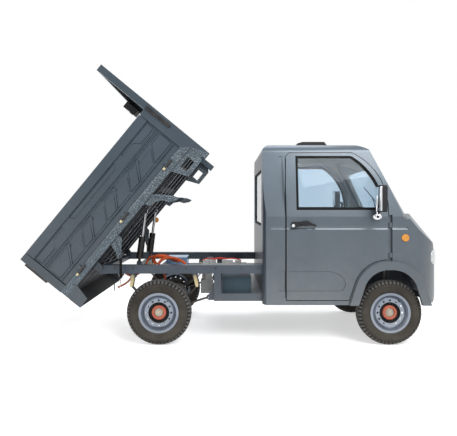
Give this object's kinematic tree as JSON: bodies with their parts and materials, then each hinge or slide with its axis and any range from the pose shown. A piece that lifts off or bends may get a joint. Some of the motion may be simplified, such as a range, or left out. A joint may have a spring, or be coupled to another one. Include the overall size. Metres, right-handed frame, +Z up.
{
  "type": "small electric tipper truck",
  "caption": "Small battery electric tipper truck with a closed cab, drop-side bed raised on its rear hinge, lift cylinders, leaf springs and steered front wheels.",
  "frame": {"origin": "centre of the bounding box on the ground", "axes": "+X forward, +Y to the left, +Z up"},
  "size_m": [3.5569, 1.524, 2.3395],
  "materials": {
    "frame_paint": "satin",
    "body_paint": "metallic",
    "bed_paint": "satin",
    "black_plastic": "textured",
    "rubber": "dusty",
    "tyre": "dusty",
    "rim_metal": "satin",
    "dark_metal": "satin",
    "cream_metal": "satin",
    "steel": "worn",
    "battery_case": "smooth",
    "blue_case": "smooth",
    "grey_case": "smooth",
    "orange_sheath": "ribbed",
    "glass": "clear",
    "seat_cover": "woven",
    "lamp_lens": "clear",
    "amber_lens": "clear",
    "red_lens": "clear"
  },
  "bodies": {
    "chassis": {"chassis_frame": "frame_paint", "cradle_frame": "frame_paint", "rear_cross_member": "frame_paint", "battery_pack": "battery_case", "controller_box": "blue_case", "relay_boxes": "grey_case", "hydraulic_unit": "grey_case", "power_cables": "orange_sheath", "leaf_springs": "dark_metal", "spring_shackles": "cream_metal", "rear_axle": "dark_metal", "torque_rods": "dark_metal", "front_suspension": "dark_metal", "cab_floor": "frame_paint", "cab_rear_panel": "body_paint", "cab_roof": "body_paint", "cab_pillars": "body_paint", "cab_nose": "body_paint", "arch_flares": "body_paint", "windscreen": "glass", "rear_window": "glass", "roof_vent": "black_plastic", "dashboard": "black_plastic", "seat_bench": "seat_cover", "cab_lamps": "lamp_lens", "side_repeaters": "amber_lens", "steering_column": "black_plastic"},
    "steering_wheel": {"steering_wheel": "black_plastic"},
    "track_rod": {"track_rod": "dark_metal"},
    "bed": {"bed_floor": "bed_paint", "bed_frame": "bed_paint", "headboard": "bed_paint", "rear_skirt": "bed_paint", "tail_lamps": "red_lens", "mud_flaps": "rubber", "work_lamp": "black_plastic", "gate_latches": "dark_metal"},
    "tailgate": {"tailgate": "bed_paint"},
    "door_right": {"door_panel_right": "body_paint", "door_glass_right": "glass", "door_fittings_right": "black_plastic"},
    "knuckle_right": {"knuckle_right": "dark_metal"},
    "side_gate_right": {"side_gate_right": "bed_paint"},
    "cylinder_barrel_right": {"cylinder_barrel_right": "dark_metal"},
    "cylinder_rod_right": {"cylinder_rod_right": "steel"},
    "wheel_front_right": {"tyre_front_right": "tyre", "rim_front_right": "rim_metal"},
    "wheel_rear_right": {"tyre_rear_right": "tyre", "rim_rear_right": "rim_metal"},
    "door_left": {"door_panel_left": "body_paint", "door_glass_left": "glass", "door_fittings_left": "black_plastic"},
    "knuckle_left": {"knuckle_left": "dark_metal"},
    "side_gate_left": {"side_gate_left": "bed_paint"},
    "cylinder_barrel_left": {"cylinder_barrel_left": "dark_metal"},
    "cylinder_rod_left": {"cylinder_rod_left": "steel"},
    "wheel_front_left": {"tyre_front_left": "tyre", "rim_front_left": "rim_metal"},
    "wheel_rear_left": {"tyre_rear_left": "tyre", "rim_rear_left": "rim_metal"}
  },
  "joints": [
    {"name": "bed_tilt", "type": "hinge", "parent": "chassis", "child": "bed", "pos_m": [-1.143, 0, 0.646], "axis": [0, 1, 0], "range_deg": [0, 50.6]},
    {"name": "tailgate_hinge", "type": "hinge", "parent": "bed", "child": "tailgate", "pos_m": [-1.42913, 0, 0.44103], "axis": [0, -1, 0], "range_deg": [0, 170]},
    {"name": "steering_wheel_turn", "type": "hinge", "parent": "chassis", "child": "steering_wheel", "pos_m": [1.01, 0.23, 1.045], "axis": [-0.848, 0, 0.5299], "range_deg": [-400, 400]},
    {"name": "track_rod_slide", "type": "slide", "parent": "chassis", "child": "track_rod", "axis": [0, 1, 0], "range_m": [-0.0585, 0.0585]},
    {"name": "steer_right", "type": "hinge", "parent": "chassis", "child": "knuckle_right", "pos_m": [1.305, -0.43, 0.2725], "axis": [0, 0, 1], "range_deg": [-30, 30]},
    {"name": "wheel_front_right_spin", "type": "hinge", "parent": "knuckle_right", "child": "wheel_front_right", "pos_m": [1.305, -0.53, 0.2725], "axis": [0, 1, 0], "continuous": true},
    {"name": "wheel_rear_right_spin", "type": "hinge", "parent": "chassis", "child": "wheel_rear_right", "pos_m": [-0.635, -0.53, 0.2725], "axis": [0, 1, 0], "continuous": true},
    {"name": "door_right_hinge", "type": "hinge", "parent": "chassis", "child": "door_right", "pos_m": [1.292, -0.596, 0.9], "axis": [0, 0, 1], "range_deg": [0, 65]},
    {"name": "side_gate_right_hinge", "type": "hinge", "parent": "bed", "child": "side_gate_right", "pos_m": [-0.90357, -0.625, 1.08085], "axis": [0.6347, 0, 0.7727], "range_deg": [0, 175]},
    {"name": "cylinder_right_swing", "type": "hinge", "parent": "chassis", "child": "cylinder_barrel_right", "pos_m": [-0.865, -0.26, 0.654], "axis": [0, 1, 0], "range_deg": [0, 76.72]},
    {"name": "cylinder_right_stroke", "type": "slide", "parent": "cylinder_barrel_right", "child": "cylinder_rod_right", "axis": [0.1244, 0, 0.9922], "range_m": [-0.16626, 0]},
    {"name": "steer_left", "type": "hinge", "parent": "chassis", "child": "knuckle_left", "pos_m": [1.305, 0.43, 0.2725], "axis": [0, 0, 1], "range_deg": [-30, 30]},
    {"name": "wheel_front_left_spin", "type": "hinge", "parent": "knuckle_left", "child": "wheel_front_left", "pos_m": [1.305, 0.53, 0.2725], "axis": [0, 1, 0], "continuous": true},
    {"name": "wheel_rear_left_spin", "type": "hinge", "parent": "chassis", "child": "wheel_rear_left", "pos_m": [-0.635, 0.53, 0.2725], "axis": [0, 1, 0], "continuous": true},
    {"name": "door_left_hinge", "type": "hinge", "parent": "chassis", "child": "door_left", "pos_m": [1.292, 0.596, 0.9], "axis": [0, 0, -1], "range_deg": [0, 65]},
    {"name": "side_gate_left_hinge", "type": "hinge", "parent": "bed", "child": "side_gate_left", "pos_m": [-0.90357, 0.625, 1.08085], "axis": [-0.6347, 0, -0.7727], "range_deg": [0, 175]},
    {"name": "cylinder_left_swing", "type": "hinge", "parent": "chassis", "child": "cylinder_barrel_left", "pos_m": [-0.865, 0.26, 0.654], "axis": [0, 1, 0], "range_deg": [0, 76.72]},
    {"name": "cylinder_left_stroke", "type": "slide", "parent": "cylinder_barrel_left", "child": "cylinder_rod_left", "axis": [0.1244, 0, 0.9922], "range_m": [-0.16626, 0]}
  ],
  "couplings": [
    {"joint": "steer_left", "follows": "steer_right", "ratio": 1},
    {"joint": "steering_wheel_turn", "follows": "steer_right", "ratio": 12},
    {"joint": "track_rod_slide", "follows": "steer_right", "m_per_rad": -0.105},
    {"joint": "cylinder_right_swing", "follows": "bed_tilt", "ratio": 1.5142},
    {"joint": "cylinder_right_stroke", "follows": "bed_tilt", "m_per_rad": -0.18804},
    {"joint": "cylinder_left_swing", "follows": "bed_tilt", "ratio": 1.5142},
    {"joint": "cylinder_left_stroke", "follows": "bed_tilt", "m_per_rad": -0.18804}
  ]
}
